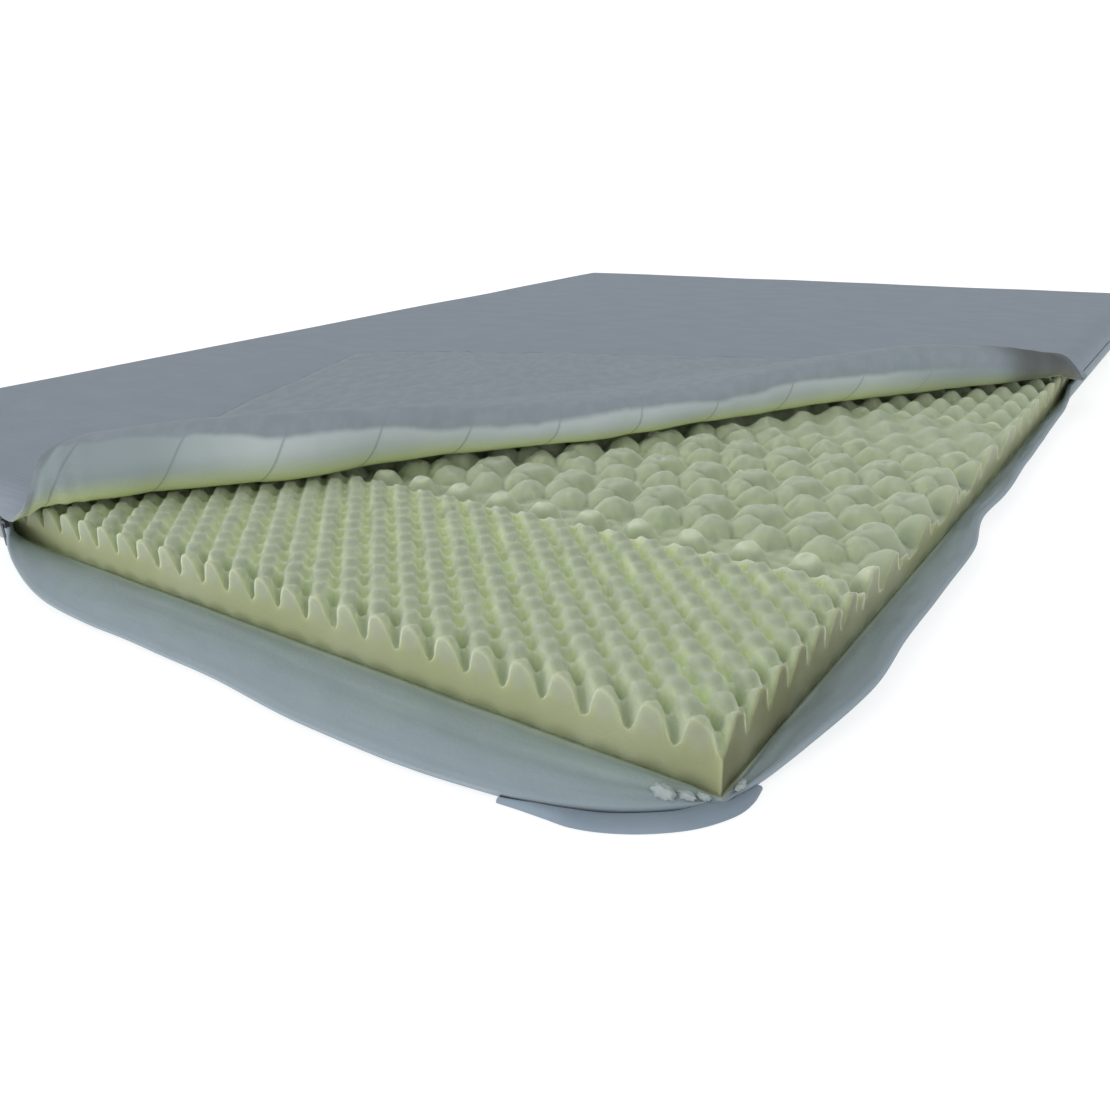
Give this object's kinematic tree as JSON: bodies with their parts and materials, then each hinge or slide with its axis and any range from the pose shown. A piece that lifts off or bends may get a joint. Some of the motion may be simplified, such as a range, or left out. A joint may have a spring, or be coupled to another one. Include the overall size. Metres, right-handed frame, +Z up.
{
  "type": "mattress topper",
  "caption": "Egg-crate foam mattress topper in a zip-off quilted cover, one corner unzipped, its lid turned back in a loose roll and its padded border wall lying open.",
  "frame": {"origin": "centre of the foam core's plan, on the underside of the base panel, where the topper rests on a bed", "axes": "+Y along the topper's length, away from the unzipped end; +X across it, towards the unzipped corner's side; +Z up, out of the quilted lid"},
  "size_m": [1.4561, 2.0931, 0.1265],
  "materials": {
    "foam": "pale yellow-green open-cell foam, matt",
    "quilt": "soft quilted knit, matt",
    "wadding": "fluffy padded cloth, matt",
    "plain": "plain woven cloth, matt",
    "facing": "smooth woven cloth, matt",
    "zip": "dark nylon coil, satin"
  },
  "bodies": {
    "root": {"base_panel": "plain", "foam_core": "foam", "border_wall": "wadding", "lid_panel": "quilt", "corner_facing": "facing", "corner_teeth": "zip", "zip_chain": "zip", "zip_slider": "zip", "zip_pull": "zip"}
  },
  "joints": []
}
